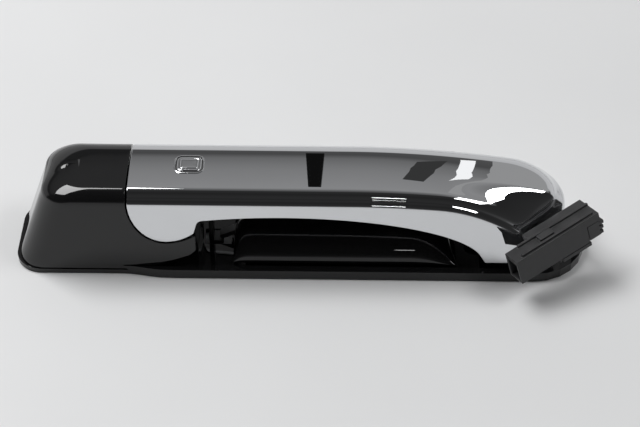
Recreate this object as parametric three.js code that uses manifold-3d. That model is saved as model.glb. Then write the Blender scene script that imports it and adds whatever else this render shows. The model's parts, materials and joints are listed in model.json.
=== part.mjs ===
// Car door handle: a chrome pull strap that hinges on a gloss-black base, with a lock button,
// keyless-entry electronics inside the strap, a latch lever under its free end and a lead connector.
// Millimetres. X runs along the handle with the hinge end at +X, +Z points away from the door,
// and the door side of the base is the plane z = 0.
import * as THREE from 'three';
import { mergeVertices } from 'three/addons/utils/BufferGeometryUtils.js';
import Module from 'manifold-3d';

const wasm = await Module();
wasm.setup();

// Driving dimensions
const HEIGHT = 44;            // crown of the strap above the door
const LEFT = -125;            // free end of the base
const RIGHT = 125;            // hinge end of the base
const BASE_HALF = 24.5;       // half width of the finger rail
const BODY_HALF = 22;         // half width of the body at the door
const SIDE_TOP_HALF = 20.1;   // half width where the side meets the edge moulding
const FACE_HALF = 14.4;       // half width of the outer face
const FACE_DROP = 0.85;       // fall of the crowned outer face to its edge
const EDGE_RADIUS = 4;        // rounding beside the outer face
const MOULDING_RADIUS = 3.4;  // second rounding, below the step
const MOULDING_DROP = 6.44;   // depth of the edge moulding below the crown
const CROWN_START = 20;       // the crown line falls beyond this place
const CROWN_FALL = 0.0011;    // fall of the crown line, per mm squared
const SWEEP_START = 58;       // the near shoulder sweeps down beyond this place
const SWEEP_FALL = 0.0042;    // its extra fall at the spine's near side, per mm squared
const NOSE = 119;             // hinge end of the strap
const NOSE_LENGTH = 22;       // length of its rounded end
const END_RADIUS = 12;        // plan corner radius of the free end
const GAP = 0.7;              // joint line between strap and base
const FIT = 0.3;              // clearance between fitted pieces
const COVER_WALL = 2;
const CORE_WALL = 3;
const HOUSING_WALL = 2.5;
const RAIL_TOP = 4.6;         // top of the finger rail
const FLOOR = 2.2;            // thickness of the base frame's floor
const LOBE = { left: -73.7, x: -58.3, top: 38, low: 18 };
const NOTCH = { x: -46, z: 22.6, topX: -44.6, topZ: 27.6, endX: -41, endZ: 29.8 };
const ARCH = { x: -7, top: 31.8, end: 78.3, foot: 7.8 };
const HINGE = { x: 98, z: 12 };
const PIN_RADIUS = 1.7;
const LEVER = { x: -21.6, z: 10.5, arm: 15, tail: 9, rest: 25 };
const CAP_END = -44.5;         // wall of the end cap in the finger well
const BUFFER = { x: -62, y: 12, radius: 2.4 };
const HOOK_X = -41;           // free-end face of the strap's hook
const WELL = { left: -29.8, right: 67.5, half: 19.5, top: 18.6 };
const BARREL = { x: -101, radius: 8.5 };
const BUTTON = { x: -48.2, length: 10.6, width: 9.2, radius: 2.4 };
const CONNECTOR = { length: 43, width: 9, height: 12, x: 107.9, y: -24, z: 22.2 };
const CONNECTOR_TURN = { yaw: 31.5, pitch: 12.5, roll: -12 };
const FULL_TURN = Math.PI * 2;

const rad = THREE.MathUtils.degToRad;

const MATERIALS = {
  gloss: [0x0b0b0c, 0.12, 0.0],
  chrome: [0xd6d8da, 0.08, 1.0],
  black: [0x1a1a1b, 0.55, 0.0],
  rubber: [0x141414, 0.85, 0.0],
  steel: [0xa8acb0, 0.35, 1.0],
  zinc: [0x9a9c98, 0.5, 0.8],
  brass: [0xb08d3c, 0.35, 1.0],
  ferrite: [0x2e2f31, 0.7, 0.1],
  copper: [0xb06a3a, 0.4, 0.9],
  board: [0x1d5a34, 0.5, 0.0],
  foil: [0xc59a4a, 0.45, 0.6],
};

function solid(geometry) {
  const bare = geometry.clone();
  bare.deleteAttribute('normal');
  bare.deleteAttribute('uv');
  const merged = mergeVertices(bare, 1e-4);
  return new wasm.Manifold(new wasm.Mesh({
    numProp: 3,
    vertProperties: new Float32Array(merged.attributes.position.array),
    triVerts: new Uint32Array(merged.index.array),
  }));
}

function geometryOf(shape) {
  const mesh = shape.getMesh();
  const geometry = new THREE.BufferGeometry();
  geometry.setAttribute('position', new THREE.BufferAttribute(mesh.vertProperties, 3));
  geometry.setIndex(new THREE.BufferAttribute(mesh.triVerts, 1));
  geometry.computeVertexNormals();
  return geometry;
}

function part(name, shape, finish) {
  const [color, roughness, metalness] = MATERIALS[finish];
  const geometry = shape.isBufferGeometry ? shape : geometryOf(shape);
  const material = new THREE.MeshStandardMaterial({ color, roughness, metalness });
  const mesh = new THREE.Mesh(geometry, material);
  mesh.name = name;
  return mesh;
}

// Simple solids, placed by the middle of their box or by their axis

function box(x0, x1, y0, y1, z0, z1) {
  const geometry = new THREE.BoxGeometry(x1 - x0, y1 - y0, z1 - z0);
  return solid(geometry.translate((x0 + x1) / 2, (y0 + y1) / 2, (z0 + z1) / 2));
}

function rodZ(x, y, z0, z1, radius, sides = 24) {
  const geometry = new THREE.CylinderGeometry(radius, radius, z1 - z0, sides);
  return solid(geometry.rotateX(Math.PI / 2).translate(x, y, (z0 + z1) / 2));
}

function rodY(x, z, y0, y1, radius, sides = 24) {
  const geometry = new THREE.CylinderGeometry(radius, radius, y1 - y0, sides);
  return solid(geometry.translate(x, (y0 + y1) / 2, z));
}

function rodX(y, z, x0, x1, radius, sides = 24) {
  const geometry = new THREE.CylinderGeometry(radius, radius, x1 - x0, sides);
  return solid(geometry.rotateZ(Math.PI / 2).translate((x0 + x1) / 2, y, z));
}

function extrudeZ(shape, z0, z1, curveSegments = 8) {
  const options = { depth: z1 - z0, bevelEnabled: false, curveSegments };
  const geometry = new THREE.ExtrudeGeometry(shape, options);
  return solid(geometry.translate(0, 0, z0));
}

// A side-view outline (x, z) carried along Y
function extrudeY(shape, y0, y1, curveSegments = 8) {
  const options = { depth: y1 - y0, bevelEnabled: false, curveSegments };
  const geometry = new THREE.ExtrudeGeometry(shape, options);
  return solid(geometry.rotateX(Math.PI / 2).translate(0, y1, 0));
}

function roundedRect(cx, cy, length, width, radius) {
  const shape = new THREE.Shape();
  const x0 = cx - length / 2;
  const y0 = cy - width / 2;
  shape.moveTo(x0 + radius, y0);
  shape.absarc(x0 + length - radius, y0 + radius, radius, -Math.PI / 2, 0);
  shape.absarc(x0 + length - radius, y0 + width - radius, radius, 0, Math.PI / 2);
  shape.absarc(x0 + radius, y0 + width - radius, radius, Math.PI / 2, Math.PI);
  shape.absarc(x0 + radius, y0 + radius, radius, Math.PI, Math.PI * 1.5);
  return shape;
}

function polygon(points) {
  return new THREE.Shape(points.map(([x, y]) => new THREE.Vector2(x, y)));
}

// The outer form of the handle, shared by the strap, the base and their inner walls.
// It is a stack of rings from the door plane up to the crown: each ring is a plan outline with a
// rounded free end and an elliptical nose, and each is lower towards the hinge with the crown line.

function crown(x, y) {
  const t = THREE.MathUtils.clamp((6 - y) / 26, 0, 1);
  const near = t * t * (3 - 2 * t);
  const sweep = 2 * SWEEP_FALL * Math.max(0, x - SWEEP_START) ** 2;
  return HEIGHT - CROWN_FALL * Math.max(0, x - CROWN_START) ** 2 - sweep * near;
}

function ringProfile() {
  const rings = [{ half: BODY_HALF, up: 0, drop: 0, left: LEFT, nose: NOSE }];
  const fall = (radius, from, to) => radius * (Math.cos(rad(from)) - Math.cos(rad(to)));
  const grow = (radius, from, to) => radius * (Math.sin(rad(to)) - Math.sin(rad(from)));
  const add = (half, drop) => {
    const inward = (SIDE_TOP_HALF - half) / SIDE_TOP_HALF;
    const lean = 13.7 + 10.3 * Math.min(1, inward / 0.28) + 8 * Math.max(0, inward - 0.28);
    rings.push({ half, up: 1, drop, left: LEFT + lean, nose: NOSE - 5 - 34 * inward });
  };
  for (const tilt of [80, 60, 40, 20]) {
    const drop = MOULDING_DROP - fall(MOULDING_RADIUS, tilt, 80);
    add(SIDE_TOP_HALF - grow(MOULDING_RADIUS, tilt, 80), drop);
  }
  const stepHalf = SIDE_TOP_HALF - grow(MOULDING_RADIUS, 20, 80) - 0.5;
  const stepDrop = FACE_DROP + fall(EDGE_RADIUS, 7, 62);
  for (const tilt of [62, 48, 34, 20, 7]) {
    add(stepHalf - grow(EDGE_RADIUS, tilt, 62), stepDrop - fall(EDGE_RADIUS, tilt, 62));
  }
  for (const share of [0.55, 0]) {
    add(FACE_HALF * share, FACE_DROP * share ** 2);
  }
  return rings;
}

function ringOutline(ring, inset) {
  const half = ring.half === 0 ? 0 : Math.max(ring.half - inset, 0);
  const left = ring.left + inset;
  const nose = ring.nose - inset;
  const corner = Math.min(END_RADIUS, half) * (half > 0 ? 1 : 0);
  const noseLength = NOSE_LENGTH * (0.35 + 0.65 * ring.half / BODY_HALF);
  const side = [];
  for (let i = 0; i <= 7; i++) {
    const angle = (i / 7) * Math.PI / 2;
    side.push([nose - noseLength * (1 - Math.cos(angle)), half * Math.sin(angle)]);
  }
  const from = nose - noseLength;
  const to = left + Math.max(corner, END_RADIUS * 0.5);
  for (let i = 1; i < 10; i++) {
    side.push([from + (to - from) * (i / 10), half]);
  }
  for (let i = 0; i <= 5; i++) {
    const angle = (i / 5) * Math.PI / 2;
    side.push([to - (to - left) * Math.sin(angle), half - corner * (1 - Math.cos(angle))]);
  }
  const far = side.slice(1).reverse();
  far.shift();
  const near = side.map(([x, y]) => [x, -y]);
  const end = side[side.length - 1];
  return [...near, [...end], ...far];
}

function form(inset) {
  const rings = ringProfile();
  const points = [];
  for (const ring of rings) {
    for (const [x, y] of ringOutline(ring, inset)) {
      const top = Math.max(crown(x, y) - ring.drop - inset, ARCH.foot - 4);
      points.push([x, y, ring.up ? top : -1]);
    }
  }
  const count = points.length / rings.length;
  const vertices = new Float32Array(points.flat());
  const index = [];
  for (let r = 0; r + 1 < rings.length; r++) {
    for (let i = 0; i < count; i++) {
      const a = r * count + i;
      const b = r * count + ((i + 1) % count);
      index.push(a, b + count, b, a, a + count, b + count);
    }
  }
  for (let i = 1; i + 1 < count; i++) {
    index.push(0, i, i + 1);
  }
  const geometry = new THREE.BufferGeometry();
  geometry.setAttribute('position', new THREE.BufferAttribute(vertices, 3));
  geometry.setIndex(index);
  return solid(geometry);
}

// Side-view outline of the space that belongs to the strap. A positive offset makes it larger.
function strapSpace(offset) {
  const top = HEIGHT + 20;
  const shape = new THREE.Shape();
  const lobeLength = LOBE.x - LOBE.left + offset;
  const lobeDepth = LOBE.top - LOBE.low + offset;
  shape.moveTo(LOBE.left - offset, top);
  shape.lineTo(LOBE.left - offset, LOBE.top);
  shape.absellipse(LOBE.x, LOBE.top, lobeLength, lobeDepth, Math.PI, Math.PI * 1.5);
  shape.quadraticCurveTo(LOBE.x + 6.5, LOBE.low - offset, NOTCH.x + offset, NOTCH.z - offset);
  shape.lineTo(NOTCH.topX + offset, NOTCH.topZ - offset);
  const roofZ = NOTCH.endZ - offset;
  shape.quadraticCurveTo(NOTCH.topX + offset + 0.8, roofZ, NOTCH.endX, roofZ);
  shape.quadraticCurveTo(ARCH.x - 18, ARCH.top - offset, ARCH.x, ARCH.top - offset);
  const archLength = ARCH.end - ARCH.x - offset;
  const archDepth = ARCH.top - ARCH.foot;
  shape.absellipse(ARCH.x, ARCH.foot - offset, archLength, archDepth, Math.PI / 2, 0, true);
  shape.lineTo(RIGHT + 20, ARCH.foot - offset);
  shape.lineTo(RIGHT + 20, top);
  return extrudeY(shape, -40, 40, 9);
}

// Plan outline of the base: body width at the free end, wider along the finger rail, round at the
// hinge end. The inset moves it inwards all round.
function baseOutline(inset, left = LEFT) {
  const body = BODY_HALF - inset;
  const rail = BASE_HALF - inset;
  const corner = END_RADIUS - inset;
  const noseX = RIGHT - BASE_HALF;
  const shape = new THREE.Shape();
  shape.moveTo(left + inset + corner, -body);
  shape.lineTo(-78, -body);
  shape.bezierCurveTo(-70, -body, -66, -rail, -56, -rail);
  shape.lineTo(noseX, -rail);
  shape.absarc(noseX, 0, rail, -Math.PI / 2, Math.PI / 2);
  shape.lineTo(-56, rail);
  shape.bezierCurveTo(-66, rail, -70, body, -78, body);
  shape.lineTo(left + inset + corner, body);
  shape.absarc(left + inset + corner, body - corner, corner, Math.PI / 2, Math.PI);
  shape.absarc(left + inset + corner, -body + corner, corner, Math.PI, Math.PI * 1.5);
  return shape;
}

function screwHole(x, y, z0, z1, radius = 1.5) {
  return rodZ(x, y, z0, z1, radius, 16);
}

const FRAME_SCREWS = [[-115, 0], [-58, 12], [-58, -12]];
const WELL_SCREWS = [[-6, 13], [50, 0]];
const BRACKET_SCREWS = [[89.5, 0], [104.5, 0]];
const DOOR_INSERTS = [[-82, 0], [77, 0]];

function baseFrame() {
  const underCap = form(-FIT).intersect(box(LEFT - 5, CAP_END + FIT, -30, 30, FLOOR, 10));
  const inside = extrudeZ(baseOutline(3.5), FLOOR, 10, 6).intersect(box(LEFT, 84, -30, 30, FLOOR, 10));
  let frame = extrudeZ(baseOutline(0), 0, RAIL_TOP, 6).subtract(inside).subtract(underCap);
  frame = frame.subtract(box(LEFT - 5, -90, -30, 30, FLOOR, 10));
  const groove = extrudeZ(baseOutline(2.5), -1, 1.2, 6).subtract(extrudeZ(baseOutline(5.5), -2, 2, 6));
  frame = frame.subtract(groove);
  for (const [x, y] of DOOR_INSERTS) {
    frame = frame.add(rodZ(x, y, 0, 7.2, 5)).subtract(rodZ(x, y, -1, 6.2, 3.8));
  }
  for (const [x, y] of [...FRAME_SCREWS, ...WELL_SCREWS, ...BRACKET_SCREWS]) {
    frame = frame.subtract(rodZ(x, y, -1, 1.4, 3, 16)).subtract(screwHole(x, y, 0, 8));
  }
  frame = frame.subtract(box(HOOK_X - 2, -31.1, -5, 5, -1, 8));
  frame = frame.subtract(box(-17.6, -7.6, -3.5, 4.5, -1, 8));
  return frame.subtract(rodZ(BARREL.x, 0, -1, 8, 5));
}

function gasket() {
  const ring = extrudeZ(baseOutline(2.5 + FIT), 0, 1.2 - FIT, 6);
  return ring.subtract(extrudeZ(baseOutline(5.5 - FIT), -1, 2, 6));
}

// The fish-mouth opening under the lobe: a wedge that narrows to a point at the rail, and the
// slanted end wall of the finger well above it.
function endScoop(side) {
  const wedge = polygon([
    [-66.7, 4.2], [-48.2, 10.6], [-45.2, 14], [-43.7, 35], [-18, 35], [-18, 2], [-66.7, 3.2],
  ]);
  const plan = new THREE.Shape();
  plan.moveTo(-69.7, -30);
  plan.lineTo(-66.7, -22.4);
  plan.quadraticCurveTo(-49.7, -17, -37.7, -5);
  plan.lineTo(-18, -5);
  plan.lineTo(-18, -30);
  const cut = extrudeY(wedge, -30, 0).intersect(extrudeZ(plan, 0, 40));
  return side < 0 ? cut : cut.mirror([0, 1, 0]);
}

function endCap() {
  const outside = form(0).intersect(box(LEFT - 5, CAP_END, -30, 30, FLOOR + FIT, 60));
  let cap = outside.subtract(strapSpace(GAP));
  const inside = form(HOUSING_WALL).intersect(box(LEFT, -53.5, -30, 30, 0, 60));
  cap = cap.subtract(inside.subtract(strapSpace(GAP + HOUSING_WALL)));
  cap = cap.subtract(endScoop(-1)).subtract(endScoop(1));
  for (const side of [-1, 1]) {
    cap = cap.subtract(rodZ(BUFFER.x, side * BUFFER.y, 16.3, 30, BUFFER.radius + FIT, 16));
  }
  for (const [x, y] of FRAME_SCREWS) {
    const post = rodZ(x, y, FLOOR + FIT, x < -100 ? 30 : 16, 3.4, 16).intersect(form(1));
    cap = cap.add(post).subtract(rodZ(x, y, 0, 12, 1.3, 12));
  }
  return cap;
}

// Raised black floor of the finger well, hollow for the latch lever
function wellSurface(inset) {
  const outline = new THREE.Shape();
  const half = WELL.half - inset;
  const height = WELL.top - inset - RAIL_TOP;
  outline.moveTo(half, RAIL_TOP - 6);
  outline.lineTo(half, RAIL_TOP);
  for (let i = 1; i < 16; i++) {
    const t = (i / 16) * Math.PI;
    const c = Math.cos(t);
    outline.lineTo(half * Math.sign(c) * Math.abs(c) ** 0.75, RAIL_TOP + height * Math.sin(t) ** 0.75);
  }
  outline.lineTo(-half, RAIL_TOP);
  outline.lineTo(-half, RAIL_TOP - 6);
  const length = WELL.right - WELL.left;
  const geometry = new THREE.ExtrudeGeometry(outline, { depth: length, bevelEnabled: false });
  geometry.rotateX(Math.PI / 2).rotateZ(Math.PI / 2).translate(WELL.left, 0, 0);
  const ends = new THREE.Shape();
  ends.moveTo(WELL.left + inset, -5);
  ends.lineTo(WELL.left + inset, 10);
  ends.quadraticCurveTo(WELL.left + inset, WELL.top - inset, WELL.left + 5, WELL.top + 2);
  ends.lineTo(49, WELL.top + 2);
  ends.quadraticCurveTo(60 - inset, WELL.top - inset, WELL.right - inset, RAIL_TOP);
  ends.lineTo(WELL.right - inset, -5);
  return solid(geometry).intersect(extrudeY(ends, -30, 30, 6));
}

function wellCover() {
  const bottom = FLOOR + FIT;
  let cover = wellSurface(0).subtract(wellSurface(2)).subtract(box(-60, 90, -30, 30, -10, bottom));
  cover = cover.subtract(box(-33.6, -19.6, -4, 4, 0, 30));
  for (const [x, y] of WELL_SCREWS) {
    const post = rodZ(x, y, bottom, 18, 3.2, 16).intersect(wellSurface(0.5));
    cover = cover.add(post).subtract(rodZ(x, y, 0, 10, 1.3, 12));
  }
  return cover;
}

// A countersunk screw driven from the door side
function floorScrew(x, y, length) {
  const head = new THREE.CylinderGeometry(1.1, 2.6, 1.1, 16).rotateX(Math.PI / 2).translate(x, y, 0.75);
  const shank = rodZ(x, y, 1.1, length, 1.0, 12);
  const slot = box(x - 1.6, x + 1.6, y - 0.25, y + 0.25, -1, 0.6);
  return solid(head).add(shank).subtract(slot);
}

function doorInsert(x, y) {
  return rodZ(x, y, FIT, 5.9, 3.5, 12).subtract(rodZ(x, y, -1, 5, 2.5, 20));
}

// Emergency key lock under the free end of the base

function lockBody() {
  const tube = rodZ(BARREL.x, 0, FLOOR + FIT, 30, BARREL.radius);
  const flange = box(BARREL.x - 9.6, BARREL.x + 11, -11, 11, FLOOR + FIT, 5);
  return tube.add(flange).subtract(rodZ(BARREL.x, 0, 0, 40, 5.6));
}

function lockPlug() {
  const plug = rodZ(BARREL.x, 0, 5.2, 34, 5.3);
  const keyway = box(BARREL.x - 0.8, BARREL.x + 0.8, -3.4, 3.4, 12, 40);
  return plug.subtract(keyway).subtract(box(BARREL.x - 1.3, BARREL.x + 1.3, -3.3, 3.3, 4, 8.3));
}

function lockTail() {
  const blade = box(BARREL.x - 1, BARREL.x + 1, -3, 3, 0.4, 8);
  return blade.add(rodZ(BARREL.x, 0, 2.4, 4.9, 4.6, 20));
}

// Hinge

function hingeBracket() {
  let bracket = box(HINGE.x - 11.5, HINGE.x + 8.8, -8.7, 8.7, RAIL_TOP + FIT, RAIL_TOP + 2.5);
  for (const y of [-8.7, 6.2]) {
    const ear = box(HINGE.x - 5, HINGE.x + 5, y, y + 2.5, RAIL_TOP + 1, HINGE.z);
    bracket = bracket.add(ear).add(rodY(HINGE.x, HINGE.z, y, y + 2.5, 5));
  }
  bracket = bracket.subtract(rodY(HINGE.x, HINGE.z, -12, 12, 3.2));
  for (const [x, y] of BRACKET_SCREWS) {
    bracket = bracket.subtract(screwHole(x, y, 2, 9, 1.3));
  }
  return bracket;
}

function hingePin() {
  const pin = rodY(HINGE.x, HINGE.z, -13.8, 13.4, PIN_RADIUS, 20);
  return pin.add(rodY(HINGE.x, HINGE.z, 13.2, 14.4, 2.6, 20));
}

// Flanged plastic bush in one ear of the bracket; side is -1 for the near ear and 1 for the far one
function hingeBush(side) {
  const outer = side * 8.8;
  const inner = side * 5.4;
  const flange = side * 5.9;
  const span = (a, b, radius) => rodY(HINGE.x, HINGE.z, Math.min(a, b), Math.max(a, b), radius, 20);
  return span(inner, outer, 2.9).add(span(inner, flange, 4.2)).subtract(span(-12, 12, PIN_RADIUS + FIT));
}

// Torsion spring coiled round the hinge pin
function returnSpring() {
  const coilRadius = 3.2;
  const length = 7.6;
  class Helix extends THREE.Curve {
    getPoint(t) {
      const angle = t * 4 * FULL_TURN;
      const x = HINGE.x + coilRadius * Math.cos(angle);
      return new THREE.Vector3(x, length * (t - 0.5), HINGE.z + coilRadius * Math.sin(angle));
    }
  }
  const wire = new THREE.Shape().absarc(0, 0, 0.45, 0, FULL_TURN);
  const options = { steps: 56, extrudePath: new Helix(), curveSegments: 3, bevelEnabled: false };
  return solid(new THREE.ExtrudeGeometry(wire, options));
}

// Latch lever in the finger well, pushed up by the strap's hook

function leverMount() {
  const plate = box(LEVER.x - 6, LEVER.x + 6, -9, 9, FLOOR + FIT, FLOOR + 1.7);
  let mount = plate;
  for (const y of [-9, 6.8]) {
    mount = mount.add(box(LEVER.x - 3.2, LEVER.x + 3.2, y, y + 2.2, FLOOR + 1, LEVER.z + 2.6));
  }
  return mount.subtract(rodY(LEVER.x, LEVER.z, -12, 12, 1.6, 16))
    .subtract(box(LEVER.x - 4, LEVER.x + 7, -3.2, 3.2, 0, 6));
}

function latchLever() {
  const arm = box(-LEVER.arm, 0, -2.2, 2.2, -1.1, 1.1).add(rodY(-LEVER.arm, 0, -2.2, 2.2, 1.1, 12));
  const tail = box(0, LEVER.tail, -1.4, 1.4, -1.1, 1.1).add(rodY(LEVER.tail, 0, -1.4, 1.4, 1.7, 16));
  const hub = rodY(0, 0, -2.6, 2.6, 3, 20);
  const holes = rodY(0, 0, -5, 5, 1.6, 16).add(rodY(LEVER.tail, 0, -5, 5, 0.9, 12));
  const lever = arm.add(tail).add(hub).subtract(holes);
  return lever.rotate([0, -LEVER.rest, 0]).translate([LEVER.x, 0, LEVER.z]);
}

function leverPin() {
  return rodY(LEVER.x, LEVER.z, -9.2, 9.2, 1.3, 16);
}

function rodClip() {
  const tilt = rad(LEVER.rest);
  const x = LEVER.x + LEVER.tail * Math.cos(tilt);
  const z = LEVER.z + LEVER.tail * Math.sin(tilt);
  const clip = box(x - 1.6, x + 1.6, 1.8, 3, z - 4.5, z + 1.6).add(rodY(x, z, -1.2, 3, 0.6, 10));
  return clip.subtract(rodY(x, z - 3, 0, 5, 0.7, 10));
}

// Strap

function buttonHole(margin, z0, z1) {
  const { x, length, width, radius } = BUTTON;
  const outline = roundedRect(x, 0, length + 2 * margin, width + 2 * margin, radius + margin);
  return extrudeZ(outline, z0, z1, 5);
}

function chromeCover() {
  const shell = form(0).intersect(strapSpace(0)).subtract(form(COVER_WALL));
  return shell.subtract(buttonHole(1.5, 38, 50));
}

function strapCore() {
  const outside = form(COVER_WALL + FIT);
  let core = outside.intersect(strapSpace(-0.6)).subtract(strapSpace(-0.6 - CORE_WALL));
  const slotFrom = HINGE.x - 13.5;
  const slotTo = HINGE.x + 10.5;
  core = core.subtract(box(slotFrom, slotTo, -9.2, 9.2, 0, 20));
  for (const y of [-13.2, 9.2]) {
    const round = rodY(HINGE.x, HINGE.z, y, y + 4, 5);
    const boss = box(HINGE.x - 5, HINGE.x + 5, y, y + 4, ARCH.foot + 1, HINGE.z).add(round);
    core = core.add(boss.intersect(outside));
  }
  const pinHole = rodY(HINGE.x, HINGE.z, -18, 18, PIN_RADIUS + FIT, 20);
  const nearSink = rodY(HINGE.x, HINGE.z, -20, -13.2, 3.2, 20);
  const headSink = rodY(HINGE.x, HINGE.z, 13.1, 20, 3.2, 20);
  core = core.subtract(pinHole).subtract(nearSink).subtract(headSink);
  return core.subtract(box(HOOK_X - 0.5, HOOK_X + 2.5, -4, 4, 20, 40));
}

function strapHook() {
  const blade = box(HOOK_X, HOOK_X + 2, -3.5, 3.5, 1, 36.4);
  const toe = box(HOOK_X, HOOK_X + 6.2, -3.5, 3.5, 1, 2.7);
  const flange = box(HOOK_X, HOOK_X + 9, -3.5, 3.5, 34.6, 36.4);
  return blade.add(toe).add(flange).subtract(rodZ(HOOK_X + 6.4, 0, 30, 40, 1.3, 12));
}

function hookScrew() {
  const x = HOOK_X + 6.4;
  const slot = box(x - 1.5, x + 1.5, -0.3, 0.3, 37.5, 39);
  return rodZ(x, 0, 36.7, 38, 2.1, 16).add(rodZ(x, 0, 34.9, 37, 1, 12)).subtract(slot);
}

function lockButton() {
  const cap = buttonHole(0, 41, HEIGHT + 0.2).add(buttonHole(-0.8, 43, HEIGHT + 0.6));
  return cap.add(buttonHole(0.9, 40, 41.4)).add(rodZ(BUTTON.x, 0, 39.3, 40.5, 2.5, 16));
}

function buttonBezel() {
  const ring = buttonHole(1.2, 42.3, HEIGHT + 0.1);
  return ring.subtract(buttonHole(0.4, 40, 50));
}

function circuitBoard() {
  const pegHoles = rodZ(-65.5, 9, 30, 36, 1.2, 12).add(rodZ(-65.5, -9, 30, 36, 1.2, 12));
  return box(-69, -43.6, -13, 13, 33.8, 35).subtract(pegHoles);
}

function buttonSwitch() {
  const plunger = rodZ(BUTTON.x, 0, 37, 38.1, 1.5, 16);
  return box(BUTTON.x - 3, BUTTON.x + 3, -3, 3, 35.3, 37.6).add(plunger);
}

function buttonBoot() {
  return buttonHole(0.2, 35.3, 38.6).subtract(buttonHole(-1, 30, 40));
}

function antennaCore() {
  return box(-28, 32, -3.2, 3.2, 36.6, 40.2);
}

function antennaCoil() {
  return box(-20, 24, -4.6, 4.6, 35.7, 41.1).subtract(box(-30, 40, -3.5, 3.5, 36.3, 40.5));
}

function sensorFoil() {
  const sheet = form(COVER_WALL + FIT).subtract(form(COVER_WALL + FIT + 0.4));
  return sheet.intersect(box(38, 80, -9, 9, 25, 60));
}

function stopBuffer(side) {
  return rodZ(BUFFER.x, side * BUFFER.y, 16.6, 18.3, BUFFER.radius, 16);
}

// Connector, cradle and lead. The connector is built along its own axes and then turned into place.

function turned(shape) {
  const { x, y, z } = CONNECTOR;
  const { yaw, pitch, roll } = CONNECTOR_TURN;
  return shape.rotate([roll, 0, 0]).rotate([0, -pitch, 0]).rotate([0, 0, yaw]).translate([x, y, z]);
}

function connectorHousing() {
  const l = CONNECTOR.length / 2;
  const w = CONNECTOR.width / 2;
  const h = CONNECTOR.height / 2;
  const flange = box(-l + 12, l, w - 0.5, w + 4.6, h - 2.4, h);
  const bridge = box(l - 8, l, -w, w, h - 4, h);
  const nearRib = box(-l + 4, l - 2, -w + 1.2, -w + 2.4, h - 0.5, h + 1);
  const farRib = box(-l + 6, l, w - 1.6, w - 0.4, h - 0.5, h + 1);
  const latchPad = box(-l + 15, -l + 22, -1.6, 2.2, h - 0.5, h + 1.4);
  const shell = box(-l, l - 7, -w, w, -h, h).add(flange).add(bridge);
  const body = shell.add(nearRib).add(farRib).add(latchPad);
  const frontSocket = box(-l - 1, -l + 14, -w + 1.2, w - 1.2, -h + 1.2, h - 2.2);
  const rearSocket = box(l - 16, l + 1, -w + 1.5, w - 1.5, -h + 1.5, h - 4);
  return turned(body.subtract(frontSocket).subtract(rearSocket));
}

function connectorLock() {
  const l = CONNECTOR.length / 2;
  const w = CONNECTOR.width / 2;
  const h = CONNECTOR.height / 2;
  let lock = box(l - 6.7, l - 1, -w + 0.2, w, -h + 0.4, h - 4.3);
  for (let i = 0; i < 3; i++) {
    const low = -h + 0.4 + i * 2.4;
    lock = lock.add(box(l - 1.4, l + 0.6 + 0.5 * i, -w + 0.4, w - 0.3, low, low + 1.6));
  }
  return turned(lock.add(box(l - 15.6, l - 6, -w + 1.8, w - 1.8, -h + 1.8, h - 4.3)));
}

function connectorTerminal(side) {
  const l = CONNECTOR.length / 2;
  return turned(box(-l + 3, -l + 13.7, side * 1.6 - 0.5, side * 1.6 + 0.5, -1.5, -0.3));
}

function connectorCradle() {
  const h = CONNECTOR.height / 2;
  const w = CONNECTOR.width / 2;
  const tray = turned(box(0, 15, -w, w, -h - 2, -h - FIT));
  const footprint = polygon([[108.5, -20], [112.5, -20], [119, -14.5], [117, -10.5]]);
  const leg = extrudeZ(footprint, RAIL_TOP + FIT, 30);
  const under = turned(box(-1, 15, -w, w, -40, -h - FIT - 0.4));
  return tray.add(leg.intersect(under)).subtract(form(-FIT));
}

function leadGrommet() {
  return rodZ(121.2, -2.6, RAIL_TOP + FIT, 8, 2.9, 20).subtract(rodZ(121.2, -2.6, 0, 10, 1.8, 20));
}

function lead() {
  const path = new THREE.CatmullRomCurve3([
    [121.2, -2.6, 5.2], [121.2, -2.6, 9], [121.6, -3.4, 14], [121.7, -5.2, 19], [121.2, -6.4, 22.4],
  ].map((p) => new THREE.Vector3(...p)));
  const section = new THREE.Shape().absarc(0, 0, 1.4, 0, FULL_TURN);
  const options = { steps: 12, extrudePath: path, curveSegments: 5, bevelEnabled: false };
  return solid(new THREE.ExtrudeGeometry(section, options));
}

const base = new THREE.Group();
const strap = new THREE.Group();

function addTo(group, name, shape, finish) {
  group.add(part(name, shape, finish));
}

function addScrews(name, places, length) {
  for (const [i, [x, y]] of places.entries()) {
    addTo(base, `${name}_${i + 1}`, floorScrew(x, y, length), 'steel');
  }
}

addTo(base, 'base_frame', baseFrame(), 'gloss');
addTo(base, 'end_cap', endCap(), 'gloss');
addTo(base, 'well_cover', wellCover(), 'gloss');
addTo(base, 'base_gasket', gasket(), 'rubber');
addScrews('cap_screw', FRAME_SCREWS, 9);
addScrews('well_screw', WELL_SCREWS, 8.5);
addScrews('bracket_screw', BRACKET_SCREWS, 6.8);
addTo(base, 'door_insert_1', doorInsert(...DOOR_INSERTS[0]), 'brass');
addTo(base, 'door_insert_2', doorInsert(...DOOR_INSERTS[1]), 'brass');
addTo(base, 'lock_body', lockBody(), 'zinc');
addTo(base, 'lock_plug', lockPlug(), 'brass');
addTo(base, 'lock_tail', lockTail(), 'steel');
addTo(base, 'hinge_bracket', hingeBracket(), 'zinc');
addTo(base, 'hinge_pin', hingePin(), 'steel');
addTo(base, 'hinge_bush_near', hingeBush(-1), 'black');
addTo(base, 'hinge_bush_far', hingeBush(1), 'black');
addTo(base, 'return_spring', returnSpring(), 'steel');
addTo(base, 'lever_mount', leverMount(), 'zinc');
addTo(base, 'latch_lever', latchLever(), 'steel');
addTo(base, 'lever_pin', leverPin(), 'steel');
addTo(base, 'rod_clip', rodClip(), 'black');
addTo(base, 'stop_buffer_near', stopBuffer(-1), 'rubber');
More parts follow.
